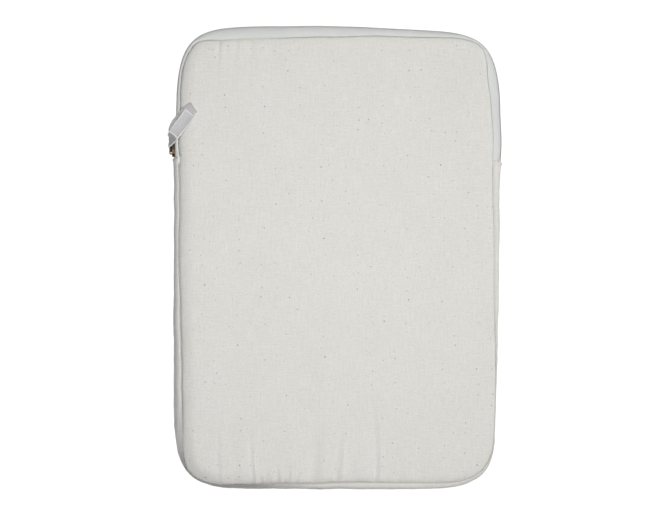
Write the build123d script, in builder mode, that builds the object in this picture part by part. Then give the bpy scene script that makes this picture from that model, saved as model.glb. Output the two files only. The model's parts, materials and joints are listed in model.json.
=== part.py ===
"""Padded canvas laptop sleeve with a zip round its top, lying flat on its back.

Millimetres. The origin is the centre of the back face, +Y runs towards the zipped top and +Z is up,
out of the front panel. Each sewn or moulded piece is one part.
"""

import os
from math import cos, radians, sin

from build123d import *

os.makedirs("parts", exist_ok=True)

# Outline at the widest line, half way up the rim
left_x = -122.0
right_top_x = 123.5
right_low_x = 119.0
bottom_y = -175.0
top_y = 175.0
top_left_y = 172.5
top_right_y = 169.5
edge_radius = 39.0

# How far the panel seams lie inside that line
side_roll = 4.6
bottom_roll = 4.5
top_roll = 8.0
seam_radius = 26.0

# Thickness, from the back face up
sleeve_thickness = 22.0
panel_thickness = 5.0
mid_z = sleeve_thickness / 2
front_z = sleeve_thickness - panel_thickness
rim_seam_z = 3.0
rim_shoulder_z = 6.0

# Cloth
canvas = 0.6
lining = 0.4
panel_gap = 1.0
panel_round = 3.5
tape_wall = 0.7
lining_gap = 0.1

# Zip: where its ends are tucked in, and its coils
zip_end_y = 75.6
coil_start = 2.6
coil_out = 0.9
coil_in = 1.0
coil_height = 1.2
coil_gap = 1.2
stop_start = 0.4
stop_length = 2.0

# Bar tacks through the gusset strip's folded ends
tack_in = 2.4
tack_width = 1.2
tack_length = 8.0
tack_proud = 0.5

# Fold line of the front panel
fold_y = zip_end_y + 44.0
fold_gap = 0.3

# Bound seam allowances inside
binding_gap = 0.6
binding_thickness = 1.6
binding_width = 3.6

# Slider, parked just above the zip's end
slider_length = 11.0
slider_park = 0.4
slider_y = zip_end_y + slider_park + slider_length / 2
shoulder_width = 9.2
tail_width = 7.2
mouth_width = 5.2
mouth_taper = 2.0
plate_round = 0.7
plate = 1.1
running_gap = 0.3
flange_width = 0.9
channel_width = 5.6
post_inset = 0.3
post_length = 3.0
post_thickness = 0.6
crown_length = 7.6
crown_width = 1.8
crown_wall = 0.8
crown_leg = 1.2
crown_room = 1.65
crown_round = 1.0

# Pull ring and ribbon
pull_angle = 52.0
ring_bar = 1.1
ring_length = 7.5
ring_width = 9.2
ring_round = 2.6
bar_round = 0.4
ribbon_width = 10.0
ribbon_neck = 7.4
ribbon_thickness = 2.0
ribbon_on_panel = 19.4

# Where the ribbon turns over the rim, and where it reaches the front panel, from the slider
turn_outside = 1.7
turn_above = 11.7
turn_below_face = 0.6
crest_inside = 3.0
crest_above = 17.4
crest_over_face = 1.7

stop_room = 20.0
big = 400.0
mid_plane = Plane.XY.offset(mid_z)


def sleeve_face(side, low_end, top_end, radius, grow):
    """The sleeve's outline seen from above, set in from its widest line, then grown outwards."""
    left = left_x + side
    low = bottom_y + low_end
    with BuildSketch() as outline:
        with BuildLine():
            bottom = Line((left, low), (right_low_x - side, low))
            right = Line(bottom @ 1, (right_top_x - side, top_right_y - top_end))
            top = ThreePointArc(right @ 1, (0, top_y - top_end), (left, top_left_y - top_end))
            Line(top @ 1, bottom @ 0)
        make_face()
        fillet(outline.vertices(), radius)
        if grow != 0:
            offset(amount=grow)
    return outline.sketch


def edge_face(grow=0.0):
    """Outline at the widest line of the rim."""
    return sleeve_face(0, 0, 0, edge_radius, grow)


def seam_face(grow=0.0):
    """Outline of the seam between a panel and the rim."""
    return sleeve_face(side_roll, bottom_roll, top_roll, seam_radius, grow)


def rim_levels(grow):
    """Height and outline of the rim's wall, from the back seam up to the front seam."""
    return (
        (rim_seam_z, seam_face(grow)),
        (rim_shoulder_z, edge_face(grow)),
        (sleeve_thickness - rim_shoulder_z, edge_face(grow)),
        (sleeve_thickness - rim_seam_z, seam_face(grow)),
    )


def keep_between(low_y, high_y, low_z=0.0, high_z=sleeve_thickness):
    """Keep only the stretch of the open part between two lengths and two heights."""
    with Locations((0, (low_y + high_y) / 2, (low_z + high_z) / 2)):
        Box(big, high_y - low_y, high_z - low_z, mode=Mode.INTERSECT)


# ---- Shapes that several pieces are cut from ----

with BuildPart() as panel_core:
    with BuildSketch(Plane.XY.offset(front_z)):
        add(seam_face(-panel_gap - canvas))
    extrude(amount=panel_thickness - canvas)
    fillet(panel_core.faces().sort_by(Axis.Z)[-1].edges(), panel_round - canvas)

with BuildPart() as panel_cover:
    with BuildSketch(Plane.XY.offset(front_z)):
        add(seam_face(-panel_gap))
    extrude(amount=panel_thickness)
    fillet(panel_cover.faces().sort_by(Axis.Z)[-1].edges(), panel_round)
    add(panel_core.part, mode=Mode.SUBTRACT)

with BuildPart() as panel_padding:
    add(panel_core.part)
    keep_between(-big / 2, big / 2, front_z + lining, sleeve_thickness)

with BuildPart() as panel_lining:
    add(panel_core.part)
    keep_between(-big / 2, big / 2, front_z, front_z + lining)

with BuildPart() as rim_wall:
    for height, level in rim_levels(0):
        with BuildSketch(Plane.XY.offset(height)):
            add(level)
    loft(ruled=True)
    for height, level in rim_levels(-tape_wall):
        with BuildSketch(Plane.XY.offset(height)):
            add(level)
    loft(ruled=True, mode=Mode.SUBTRACT)

with BuildPart() as rim_lining:
    for height, level in rim_levels(-tape_wall - lining_gap):
        with BuildSketch(Plane.XY.offset(height)):
            add(level)
    loft(ruled=True)
    for height, level in rim_levels(-tape_wall - lining_gap - lining):
        with BuildSketch(Plane.XY.offset(height)):
            add(level)
    loft(ruled=True, mode=Mode.SUBTRACT)

with BuildPart() as coil:
    with BuildSketch(Plane.XY.offset(mid_z + coil_gap / 2)):
        add(edge_face(coil_out))
        add(edge_face(-coil_in), mode=Mode.SUBTRACT)
    extrude(amount=coil_height)

with BuildPart() as binding:
    with BuildSketch(Plane.XY.offset(front_z - binding_width)):
        add(seam_face(-panel_gap - binding_gap))
        add(seam_face(-panel_gap - binding_gap - binding_thickness), mode=Mode.SUBTRACT)
    extrude(amount=binding_width)

coil_low = mid_z + coil_gap / 2
coil_high = coil_low + coil_height

# ---- Back panel: canvas, foam and lining ----

with BuildPart() as back_cover:
    mirror(panel_cover.part, about=mid_plane)
back_cover.part.label = "back_cover"
export_step(back_cover.part, "parts/back_cover.step")

with BuildPart() as back_padding:
    mirror(panel_padding.part, about=mid_plane)
back_padding.part.label = "back_padding"
export_step(back_padding.part, "parts/back_padding.step")

with BuildPart() as back_lining:
    mirror(panel_lining.part, about=mid_plane)
back_lining.part.label = "back_lining"
export_step(back_lining.part, "parts/back_lining.step")

# ---- Front panel below the fold ----

with BuildPart() as front_cover_lower:
    add(panel_cover.part)
    keep_between(-big / 2, fold_y - fold_gap / 2)
front_cover_lower.part.label = "front_cover_lower"
export_step(front_cover_lower.part, "parts/front_cover_lower.step")

with BuildPart() as front_padding_lower:
    add(panel_padding.part)
    keep_between(-big / 2, fold_y - fold_gap / 2)
front_padding_lower.part.label = "front_padding_lower"
export_step(front_padding_lower.part, "parts/front_padding_lower.step")

with BuildPart() as front_lining_lower:
    add(panel_lining.part)
    keep_between(-big / 2, fold_y - fold_gap / 2)
front_lining_lower.part.label = "front_lining_lower"
export_step(front_lining_lower.part, "parts/front_lining_lower.step")

# ---- Front panel above the fold, which opens as a flap ----

with BuildPart() as front_cover_flap:
    add(panel_cover.part)
    keep_between(fold_y + fold_gap / 2, big / 2)
front_cover_flap.part.label = "front_cover_flap"
export_step(front_cover_flap.part, "parts/front_cover_flap.step")

with BuildPart() as front_padding_flap:
    add(panel_padding.part)
    keep_between(fold_y + fold_gap / 2, big / 2)
front_padding_flap.part.label = "front_padding_flap"
export_step(front_padding_flap.part, "parts/front_padding_flap.step")

with BuildPart() as front_lining_flap:
    add(panel_lining.part)
    keep_between(fold_y + fold_gap / 2, big / 2)
front_lining_flap.part.label = "front_lining_flap"
export_step(front_lining_flap.part, "parts/front_lining_flap.step")

# ---- Gusset strip round the lower sides and the bottom ----

with BuildPart() as gusset_cover:
    add(rim_wall.part)
    keep_between(-big / 2, zip_end_y)
gusset_cover.part.label = "gusset_cover"
export_step(gusset_cover.part, "parts/gusset_cover.step")

with BuildPart() as gusset_lining:
    add(rim_lining.part)
    keep_between(
        -big / 2,
        zip_end_y,
        panel_thickness + lining_gap,
        front_z - lining_gap,
    )
gusset_lining.part.label = "gusset_lining"
export_step(gusset_lining.part, "parts/gusset_lining.step")

# ---- Zip tapes ----

with BuildPart() as zip_tape_back:
    add(rim_wall.part)
    keep_between(zip_end_y, big / 2, 0, sleeve_thickness - coil_high)
zip_tape_back.part.label = "zip_tape_back"
export_step(zip_tape_back.part, "parts/zip_tape_back.step")

with BuildPart() as zip_tape_front_legs:
    add(rim_wall.part)
    keep_between(zip_end_y, fold_y - fold_gap / 2, coil_high)
zip_tape_front_legs.part.label = "zip_tape_front_legs"
export_step(zip_tape_front_legs.part, "parts/zip_tape_front_legs.step")

with BuildPart() as zip_tape_front:
    add(rim_wall.part)
    keep_between(fold_y + fold_gap / 2, big / 2, coil_high)
zip_tape_front.part.label = "zip_tape_front"
export_step(zip_tape_front.part, "parts/zip_tape_front.step")

# ---- Zip coils ----

with BuildPart() as zip_coil_back:
    mirror(coil.part, about=mid_plane)
    keep_between(zip_end_y + coil_start, big / 2)
zip_coil_back.part.label = "zip_coil_back"
export_step(zip_coil_back.part, "parts/zip_coil_back.step")

with BuildPart() as zip_coil_front_legs:
    add(coil.part)
    keep_between(zip_end_y + coil_start, fold_y - fold_gap / 2)
zip_coil_front_legs.part.label = "zip_coil_front_legs"
export_step(zip_coil_front_legs.part, "parts/zip_coil_front_legs.step")

with BuildPart() as zip_coil_front:
    add(coil.part)
    keep_between(fold_y + fold_gap / 2, big / 2)
zip_coil_front.part.label = "zip_coil_front"
export_step(zip_coil_front.part, "parts/zip_coil_front.step")

# ---- Stops crimped on the ends of the coils ----

with BuildPart() as stop_rings:
    with BuildSketch(mid_plane):
        add(edge_face(coil_out))
        add(edge_face(-coil_in), mode=Mode.SUBTRACT)
    extrude(amount=coil_gap / 2 + coil_height, both=True)
    keep_between(zip_end_y + stop_start, zip_end_y + stop_start + stop_length)

with BuildPart() as zip_top_stops:
    add(stop_rings.part)
    with Locations((left_x, zip_end_y, mid_z)):
        Box(stop_room, stop_room, big, mode=Mode.INTERSECT)
        Box(stop_room, stop_room, coil_gap, mode=Mode.SUBTRACT)
zip_top_stops.part.label = "zip_top_stops"
export_step(zip_top_stops.part, "parts/zip_top_stops.step")

with BuildPart() as zip_bottom_stop:
    add(stop_rings.part)
    with Locations((-left_x, zip_end_y, mid_z)):
        Box(stop_room, stop_room, big, mode=Mode.INTERSECT)
zip_bottom_stop.part.label = "zip_bottom_stop"
export_step(zip_bottom_stop.part, "parts/zip_bottom_stop.step")

# ---- Bar tacks through the gusset strip's folded ends ----

with BuildPart() as end_tacks:
    with BuildSketch(mid_plane):
        add(edge_face(tack_proud))
        add(edge_face(), mode=Mode.SUBTRACT)
    extrude(amount=tack_length / 2, both=True)
    keep_between(zip_end_y - tack_in - tack_width, zip_end_y - tack_in)
end_tacks.part.label = "end_tacks"
export_step(end_tacks.part, "parts/end_tacks.step")

# ---- Binding over the seam allowances inside ----

with BuildPart() as seam_binding_back:
    mirror(binding.part, about=mid_plane)
seam_binding_back.part.label = "seam_binding_back"
export_step(seam_binding_back.part, "parts/seam_binding_back.step")

with BuildPart() as seam_binding_front_lower:
    add(binding.part)
    keep_between(-big / 2, fold_y - fold_gap / 2)
seam_binding_front_lower.part.label = "seam_binding_front_lower"
export_step(seam_binding_front_lower.part, "parts/seam_binding_front_lower.step")

with BuildPart() as seam_binding_front_flap:
    add(binding.part)
    keep_between(fold_y + fold_gap / 2, big / 2)
seam_binding_front_flap.part.label = "seam_binding_front_flap"
export_step(seam_binding_front_flap.part, "parts/seam_binding_front_flap.step")

# ---- Slider on the left leg of the zip, its face turned outwards ----

outer_plate_x = left_x - coil_out - running_gap
inner_plate_x = left_x + coil_in + running_gap
tape_outside_x = left_x - running_gap
tape_inside_x = left_x + tape_wall + running_gap
crown_x = outer_plate_x - plate
half_length = slider_length / 2


def slider_plane(x):
    """Plane facing +X across the slider at x, with its own X along the zip."""
    return Plane(origin=(x, slider_y, mid_z), x_dir=(0, 1, 0), z_dir=(1, 0, 0))


def plate_face(inset):
    """Shield-shaped plate of the slider: a mouth and shoulders below, a narrower tail above."""
    with BuildSketch() as shield:
        with BuildLine():
            Polyline(
                (-half_length, -mouth_width / 2),
                (-half_length + mouth_taper, -shoulder_width / 2),
                (0, -shoulder_width / 2),
                (half_length, -tail_width / 2),
                (half_length, tail_width / 2),
                (0, shoulder_width / 2),
                (-half_length + mouth_taper, shoulder_width / 2),
                (-half_length, mouth_width / 2),
                close=True,
            )
        make_face()
        fillet(shield.vertices(), plate_round)
        if inset > 0:
            offset(amount=-inset)
    return shield.sketch


with BuildPart() as slider_body:
    with BuildSketch(slider_plane(outer_plate_x)):
        add(plate_face(0))
    extrude(amount=-plate)
    with BuildSketch(slider_plane(inner_plate_x)):
        add(plate_face(0))
    extrude(amount=plate)
    # flanges that close round the coils, open at both ends of the channel
    with BuildSketch(slider_plane(outer_plate_x)):
        add(plate_face(0))
        add(plate_face(flange_width), mode=Mode.SUBTRACT)
        Rectangle(big, channel_width, mode=Mode.SUBTRACT)
    extrude(amount=tape_outside_x - outer_plate_x)
    with BuildSketch(slider_plane(inner_plate_x)):
        add(plate_face(0))
        add(plate_face(flange_width), mode=Mode.SUBTRACT)
        Rectangle(big, channel_width, mode=Mode.SUBTRACT)
    extrude(amount=tape_inside_x - inner_plate_x)
    # wedge that joins the plates between the coils
    with BuildSketch(slider_plane(outer_plate_x)):
        with Locations((-half_length + post_inset + post_length / 2, 0)):
            Rectangle(post_length, post_thickness)
    extrude(amount=inner_plate_x - outer_plate_x)
    # crown that holds the pull ring
    with BuildSketch(Plane.XY.offset(mid_z - crown_width / 2)):
        with Locations((crown_x - (crown_room + crown_wall) / 2, slider_y)):
            Rectangle(crown_room + crown_wall, crown_length)
        with Locations((crown_x - crown_room / 2, slider_y)):
            Rectangle(crown_room, crown_length - 2 * crown_leg, mode=Mode.SUBTRACT)
    extrude(amount=crown_width)
    fillet(slider_body.faces().sort_by(Axis.X)[0].edges().filter_by(Axis.Z), crown_round)
slider_body.part.label = "slider_body"
export_step(slider_body.part, "parts/slider_body.step")

# ---- Pull ring through the crown, and the ribbon on it ----

along = Vector(0, sin(radians(pull_angle)), cos(radians(pull_angle)))
across = Vector(0, -cos(radians(pull_angle)), sin(radians(pull_angle)))
ring_centre = Vector(crown_x - crown_room / 2, slider_y, mid_z)

with BuildPart() as pull_ring:
    with BuildSketch(Plane(origin=ring_centre, x_dir=along, z_dir=(-1, 0, 0))):
        with Locations(((ring_length - ring_bar) / 2, 0)):
            RectangleRounded(ring_length, ring_width, ring_round)
            RectangleRounded(
                ring_length - 2 * ring_bar,
                ring_width - 2 * ring_bar,
                ring_round - ring_bar,
                mode=Mode.SUBTRACT,
            )
    extrude(amount=ring_bar / 2, both=True)
    fillet(pull_ring.edges(), bar_round)
pull_ring.part.label = "pull_ring"
export_step(pull_ring.part, "parts/pull_ring.step")

# The ribbon climbs the rim on the slant, turns over its edge and lies on the front panel.
front_along = Vector(cos(radians(pull_angle)), sin(radians(pull_angle)), 0)
turn_along = (along + front_along).normalized()
front_across = Vector(sin(radians(pull_angle)), -cos(radians(pull_angle)), 0)
turn_across = (across + front_across).normalized()
ring_end = ring_centre + along * (ring_length - ring_bar / 2 + running_gap)
turn_point = Vector(left_x - turn_outside, slider_y + turn_above, sleeve_thickness - turn_below_face)
crest_point = Vector(left_x + crest_inside, slider_y + crest_above, sleeve_thickness + crest_over_face)
tip_point = crest_point + front_along * ribbon_on_panel

ribbon_sections = (
    (ring_end, along, across, ribbon_neck),
    (turn_point, turn_along, turn_across, ribbon_width),
    (crest_point, front_along, front_across, ribbon_width),
    (tip_point, front_along, front_across, ribbon_width),
)

with BuildPart() as pull_ribbon:
    for centre, run, sideways, width in ribbon_sections:
        with BuildSketch(Plane(origin=centre, x_dir=sideways, z_dir=run)):
            Rectangle(width, ribbon_thickness)
    loft(ruled=True)
pull_ribbon.part.label = "pull_ribbon"
export_step(pull_ribbon.part, "parts/pull_ribbon.step")
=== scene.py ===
"""The looks of the canvas laptop sleeve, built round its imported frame.

Shapes are worked out in millimetres in the frame's own axes; new_mesh() turns them into metres.
"""
import json
import math

import bpy
import numpy as np
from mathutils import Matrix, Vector, geometry, noise


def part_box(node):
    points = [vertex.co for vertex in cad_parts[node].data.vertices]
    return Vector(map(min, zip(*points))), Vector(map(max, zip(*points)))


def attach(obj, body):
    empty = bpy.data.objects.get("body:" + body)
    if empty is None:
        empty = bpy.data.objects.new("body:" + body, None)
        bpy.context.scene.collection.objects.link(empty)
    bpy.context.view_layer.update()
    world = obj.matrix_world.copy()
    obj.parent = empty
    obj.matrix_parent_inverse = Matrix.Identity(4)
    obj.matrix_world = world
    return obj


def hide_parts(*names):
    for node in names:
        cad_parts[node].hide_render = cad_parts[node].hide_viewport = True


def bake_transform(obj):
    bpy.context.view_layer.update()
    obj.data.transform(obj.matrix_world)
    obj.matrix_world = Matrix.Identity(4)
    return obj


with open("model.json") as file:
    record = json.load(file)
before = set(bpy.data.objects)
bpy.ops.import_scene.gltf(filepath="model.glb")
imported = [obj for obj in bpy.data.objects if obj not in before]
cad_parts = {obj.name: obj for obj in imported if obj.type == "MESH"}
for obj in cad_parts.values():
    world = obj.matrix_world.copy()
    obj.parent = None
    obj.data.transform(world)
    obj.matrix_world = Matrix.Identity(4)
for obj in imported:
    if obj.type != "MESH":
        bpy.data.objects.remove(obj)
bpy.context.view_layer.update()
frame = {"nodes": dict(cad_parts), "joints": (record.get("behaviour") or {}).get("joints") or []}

MM = 1000.0
scene = bpy.context.scene


def box_mm(node):
    """Lowest and highest corner of a CAD node, in millimetres."""
    low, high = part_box(node)
    return np.array(low) * MM, np.array(high) * MM


# ---------------------------------------------------------------------------
# Driving dimensions, from the frame
# ---------------------------------------------------------------------------

gusset_low, gusset_high = box_mm("gusset_cover")
tape_high = box_mm("zip_tape_back")[1]
front_high = box_mm("front_cover_lower")[1]
lining_low, lining_high = box_mm("back_lining")
front_lining_low, front_lining_high = box_mm("front_lining_lower")

left_x = gusset_low[0]
right_x = tape_high[0]
bottom_y = gusset_low[1]
top_y = tape_high[1]
zip_end_y = gusset_high[1]
top_z = front_high[2]
mid_z = top_z / 2
# height of the back seam, and how deep it is drawn in
BACK_SEAM_Z = 3.6
BACK_DIP = 0.8

joints = {j["name"]: j for j in frame["joints"]}


# ---------------------------------------------------------------------------
# Outline: four sides joined by four soft corners, numbered 0 to 8 anticlockwise
# from the bottom side. Even numbers start a side, odd ones a corner.
# ---------------------------------------------------------------------------

# corner x and y, how far the corner reaches along the side before it and the side after it,
# and how square it is towards each
CORNERS = (
    (left_x - 1.7, bottom_y + 0.2, 60.0, 60.0, 0.85, 0.81),
    (right_x - 4.7, bottom_y + 0.1, 60.0, 44.0, 0.95, 0.67),
    (right_x + 1.2, top_y - 5.4, 60.0, 50.0, 0.95, 0.67),
    (left_x + 1.2, top_y + 0.9, 60.0, 58.0, 0.74, 0.93),
)
# how far the middle of each side stands out: bottom, right, top, left
BOWS = (0.0, 1.2, 1.65, 1.0)
# soft bulges of the right and the left side: y, how far out, how long
RIGHT_BULGES = ((88.0, 1.0, 18.0), (40.0, -0.2, 12.0))
LEFT_BULGES = (
    (67.0, 1.0, 11.0), (86.0, 1.15, 7.0), (46.0, 0.5, 8.0), (-46.0, 0.5, 12.0), (-95.0, 0.3, 10.0),
    (-12.0, -0.2, 12.0),
)
# soft waves of the whole outline: how deep, how long
OUTLINE_WAVE = (0.35, 26.0)


def unit(v):
    return v / np.linalg.norm(v)


def make_sides():
    """Start, end, outward direction and bow of each side."""
    sides = []
    for i in range(4):
        here, there = CORNERS[i], CORNERS[(i + 1) % 4]
        a, b = np.array(here[:2]), np.array(there[:2])
        run = unit(b - a)
        sides.append((a + run * here[3], b - run * there[2], np.array((run[1], -run[0])), BOWS[i]))
    return sides


def bezier(p0, p1, p2, p3, s):
    """Points of a cubic curve at shares s of its way."""
    s = s[:, None]
    return (1 - s) ** 3 * p0 + 3 * (1 - s) ** 2 * s * p1 + 3 * (1 - s) * s**2 * p2 + s**3 * p3


def side_points(side, s):
    a, b, out, bow = side
    return a + np.outer(s, b - a) + np.outer(4 * bow * s * (1 - s), out)


def corner_points(before, after, corner, s):
    """A cubic curve from the end of one side to the start of the next, tangent to both."""
    p0, p3 = before[1], after[0]
    d0 = unit(before[1] - before[0] - before[2] * 4 * before[3])
    d3 = unit(after[1] - after[0] + after[2] * 4 * after[3])
    # lengths to where the two tangents cross
    reach = np.linalg.solve(np.array((d0, -d3)).T, p3 - p0)
    p1 = p0 + d0 * reach[0] * corner[4]
    p2 = p3 + d3 * reach[1] * corner[5]
    return bezier(p0, p1, p2, p3, s)


def closed_lengths(points):
    return np.concatenate(([0], np.cumsum(np.linalg.norm(np.diff(points, axis=0), axis=1))))


def outward(points):
    """Outward directions of a closed line that repeats its first point at the end."""
    around = np.concatenate((points[-2:-1], points, points[1:2]))
    run = around[2:] - around[:-2]
    run /= np.linalg.norm(run, axis=1)[:, None]
    return np.stack((run[:, 1], -run[:, 0]), 1)


def make_outline():
    """Places t from 0 to 8 and the outline's points there, bulges included."""
    sides = make_sides()
    s = np.linspace(0, 1, 600, endpoint=False)
    points, places = [], []
    for i in range(4):
        after = sides[(i + 1) % 4]
        points += [side_points(sides[i], s), corner_points(sides[i], after, CORNERS[(i + 1) % 4], s)]
        places += [2 * i + s, 2 * i + 1 + s]
    points = np.concatenate(points + [points[0][:1]])
    places = np.concatenate(places + [np.array([8.0])])
    out = outward(points)
    along = closed_lengths(points)
    turn = 2 * np.pi * along / along[-1]
    girth = along[-1] / (2 * np.pi)
    depth, size = OUTLINE_WAVE
    push = depth * wave(girth * np.cos(turn), girth * np.sin(turn), size, 0.5)
    for table, low_t, high_t in ((RIGHT_BULGES, 1.8, 3.3), (LEFT_BULGES, 5.7, 7.2)):
        here = (places > low_t) & (places < high_t)
        for y, far, size in table:
            push[here] += far * np.exp(-(((points[here, 1] - y) / size) ** 2))
    return places, points + out * push[:, None]


def wave(x, y, size, seed):
    """Smooth noise from -1 to 1 over points, size across."""
    return np.array(
        [noise.noise(Vector((a / size, b / size, seed))) for a, b in zip(np.ravel(x), np.ravel(y))]
    ).reshape(np.shape(x))


DENSE_T, DENSE_P = make_outline()
DENSE_S = closed_lengths(DENSE_P)
DENSE_OUT = outward(DENSE_P)
AROUND = DENSE_S[-1]


def at_place(values, t):
    t = np.mod(np.asarray(t, float), 8.0)
    return np.stack([np.interp(t, DENSE_T, column) for column in values.T], 1)


def edge_at(t):
    """Points of the sleeve's widest line at places t."""
    return at_place(DENSE_P, t)


def outward_at(t):
    out = at_place(DENSE_OUT, t)
    return out / np.linalg.norm(out, axis=1)[:, None]


def place_of(length):
    """Places t at distances along the outline."""
    return np.interp(np.mod(length, AROUND), DENSE_S, DENSE_T)


def length_of(t):
    return np.interp(np.mod(t, 8.0), DENSE_T, DENSE_S)


def place_at_height(y, low_t, high_t):
    """Place t between low_t and high_t where the outline has that y."""
    inside = (DENSE_T >= low_t) & (DENSE_T <= high_t)
    nearest = np.argmin(np.abs(DENSE_P[inside][:, 1] - y))
    return DENSE_T[inside][nearest]


# the right end of the gusset strip sits a little lower than the left one
RIGHT_END_DROP = 2.6
right_end_s = length_of(place_at_height(zip_end_y - RIGHT_END_DROP, 2.0, 3.2))
left_end_s = length_of(place_at_height(zip_end_y, 5.8, 7.0))

# At places round the outline: how wide the rim shows in front of the seam
ROLL = (
    (0.0, 3.6), (0.2, 4.7), (0.69, 5.9), (1.0, 5.4), (1.3, 3.9), (1.6, 3.1), (1.85, 1.7),
    (2.1, 1.3), (2.5, 4.7), (2.92, 7.1), (3.15, 8.3), (3.52, 3.25), (4.25, 6.9), (4.6, 9.2),
    (5.0, 10.1), (5.2, 9.95), (5.56, 3.8), (5.87, 3.0), (6.3, 4.4), (6.5, 3.9), (6.72, 5.8),
    (7.0, 6.8), (7.55, 1.4), (8.0, 3.6),
)
# how far the seam lies below the panel's face
SEAM_DROP = (
    (0.0, 3.2), (0.3, 1.9), (1.0, 1.5), (1.5, 1.5), (1.9, 0.8), (2.15, 0.5), (2.8, 0.7), (3.2, 1.5),
    (4.0, 1.3), (5.1, 1.4), (5.5, 2.4), (5.9, 3.5), (7.0, 3.9), (7.5, 6.4), (8.0, 3.4),
)
# how deep the seam itself is drawn in
SEAM_DIP = (
    (0.0, 1.5), (0.4, 0.85), (1.1, 0.45), (1.4, 0.20), (1.75, 0.04), (2.0, 0.0), (2.80, 0.02),
    (2.95, 0.16), (3.1, 0.22), (4.0, 0.30), (5.05, 0.30), (5.35, 0.45), (5.6, 1.0), (6.0, 1.7),
    (6.3, 2.0), (7.0, 1.5), (7.5, 0.5), (7.75, 0.5), (8.0, 1.5),
)
# how round the gusset strip's shoulder is: small where it stays flat and then turns down sharply
STRIP_SHOULDER = (
    (0.0, 0.42), (0.3, 0.22), (0.7, 0.08), (1.1, 0.06), (2.0, 0.10), (3.0, 0.12), (5.8, 0.36),
    (7.0, 0.44), (7.6, 0.50), (8.0, 0.42),
)
# how far in from the seam the panel's edge rolls over
EDGE_WIDTH = (
    (0.0, 10.0), (0.35, 7.0), (1.0, 6.0), (2.0, 6.0), (3.2, 4.5), (4.0, 4.0), (5.0, 4.5),
    (5.5, 8.0), (5.9, 11.0), (7.0, 11.5), (7.5, 13.0), (8.0, 10.0),
)


def eased(table, t):
    """Values between the table's, eased so that they pass each entry level."""
    t = np.mod(np.asarray(t, float), 8.0)
    places = np.array([p for p, _ in table])
    values = np.array([v for _, v in table])
    i = np.clip(np.searchsorted(places, t, side="right") - 1, 0, len(places) - 2)
    s = (t - places[i]) / (places[i + 1] - places[i])
    return values[i] + (values[i + 1] - values[i]) * (1 - np.cos(np.pi * s)) / 2


# ---------------------------------------------------------------------------
# Mesh helpers
# ---------------------------------------------------------------------------

def new_mesh(name, points, faces, uvs=None):
    """A mesh object from points in millimetres. uvs holds one pair per point, in millimetres of cloth."""
    mesh = bpy.data.meshes.new(name)
    mesh.from_pydata((np.asarray(points, float) / MM).tolist(), [], faces)
    if uvs is not None:
        layer = mesh.uv_layers.new(name="cloth")
        loops = np.zeros(len(mesh.loops), int)
        mesh.loops.foreach_get("vertex_index", loops)
        layer.data.foreach_set("uv", (np.asarray(uvs, float)[loops] / MM).astype(np.float32).ravel())
    mesh.polygons.foreach_set("use_smooth", [True] * len(mesh.polygons))
    mesh.update()
    obj = bpy.data.objects.new(name, mesh)
    scene.collection.objects.link(obj)
    return obj


def finish_piece(obj, material, nodes, body=None):
    """Give a piece its material and slot, and let it stand for CAD nodes. Bending pieces take no body."""
    obj.data.materials.clear()
    obj.data.materials.append(material)
    if nodes:
        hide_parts(*nodes)
    if body:
        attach(obj, body)
    else:
        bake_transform(obj)


def grid_faces(rows, columns, round_rows=False, round_columns=False):
    """Faces between the points of a grid, which may close on itself along its rows or its columns."""
    faces = []
    for i in range(rows if round_rows else rows - 1):
        k = (i + 1) % rows
        for j in range(columns if round_columns else columns - 1):
            m = (j + 1) % columns
            faces.append((i * columns + j, k * columns + j, k * columns + m, i * columns + m))
    return faces


def grid_normals(grid):
    """Unit normals of a grid of points."""
    along = np.gradient(grid, axis=0)
    across = np.gradient(grid, axis=1)
    normals = np.cross(along, across)
    return normals / np.maximum(np.linalg.norm(normals, axis=2), 1e-9)[:, :, None]


def sheet_mesh(name, grid, uv, thickness, side_shift=0.0):
    """A thin closed sheet: the grid is its outer side, and the inner side lies thickness behind it.

    side_shift moves the inner side's cloth coordinates, so that a material can tell the two apart.
    """
    rows, columns = grid.shape[:2]
    inner = grid - grid_normals(grid) * thickness
    points = np.concatenate((grid.reshape(-1, 3), inner.reshape(-1, 3)))
    uvs = np.concatenate((uv.reshape(-1, 2), uv.reshape(-1, 2) + (side_shift, 0)))
    count = rows * columns
    faces = grid_faces(rows, columns)
    faces += [tuple(v + count for v in reversed(face)) for face in faces]
    for i in range(rows - 1):
        low, high = i * columns, (i + 1) * columns
        faces.append((high, low, low + count, high + count))
        low, high = low + columns - 1, high + columns - 1
        faces.append((low, high, high + count, low + count))
    for j in range(columns - 1):
        faces.append((j, j + 1, j + 1 + count, j + count))
        a = (rows - 1) * columns + j
        faces.append((a + 1, a, a + count, a + 1 + count))
    return new_mesh(name, points, faces, uvs)


def tube(path, radius, sides):
    """Points and faces of a round thread or wire along a path of points."""
    path = np.asarray(path, float)
    run = np.gradient(path, axis=0)
    run /= np.linalg.norm(run, axis=1)[:, None]
    up = np.array((0.0, 0.0, 1.0))
    side = np.cross(run, up)
    weak = np.linalg.norm(side, axis=1) < 0.2
    side[weak] = np.cross(run[weak], (1.0, 0.0, 0.0))
    side /= np.linalg.norm(side, axis=1)[:, None]
    over = np.cross(side, run)
    turn = np.arange(sides) * 2 * math.pi / sides
    ring = side[:, None] * np.cos(turn)[None, :, None] + over[:, None] * np.sin(turn)[None, :, None]
    points = (path[:, None] + ring * radius).reshape(-1, 3)
    faces = grid_faces(len(path), sides, round_columns=True)
    faces.append(tuple(range(sides)))
    faces.append(tuple(reversed(range((len(path) - 1) * sides, len(path) * sides))))
    return points, faces


def joined(parts):
    """One list of points and faces from several."""
    points, faces, start = [], [], 0
    for p, f in parts:
        points.append(p)
        faces += [tuple(v + start for v in face) for face in f]
        start += len(p)
    return np.concatenate(points), faces


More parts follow.
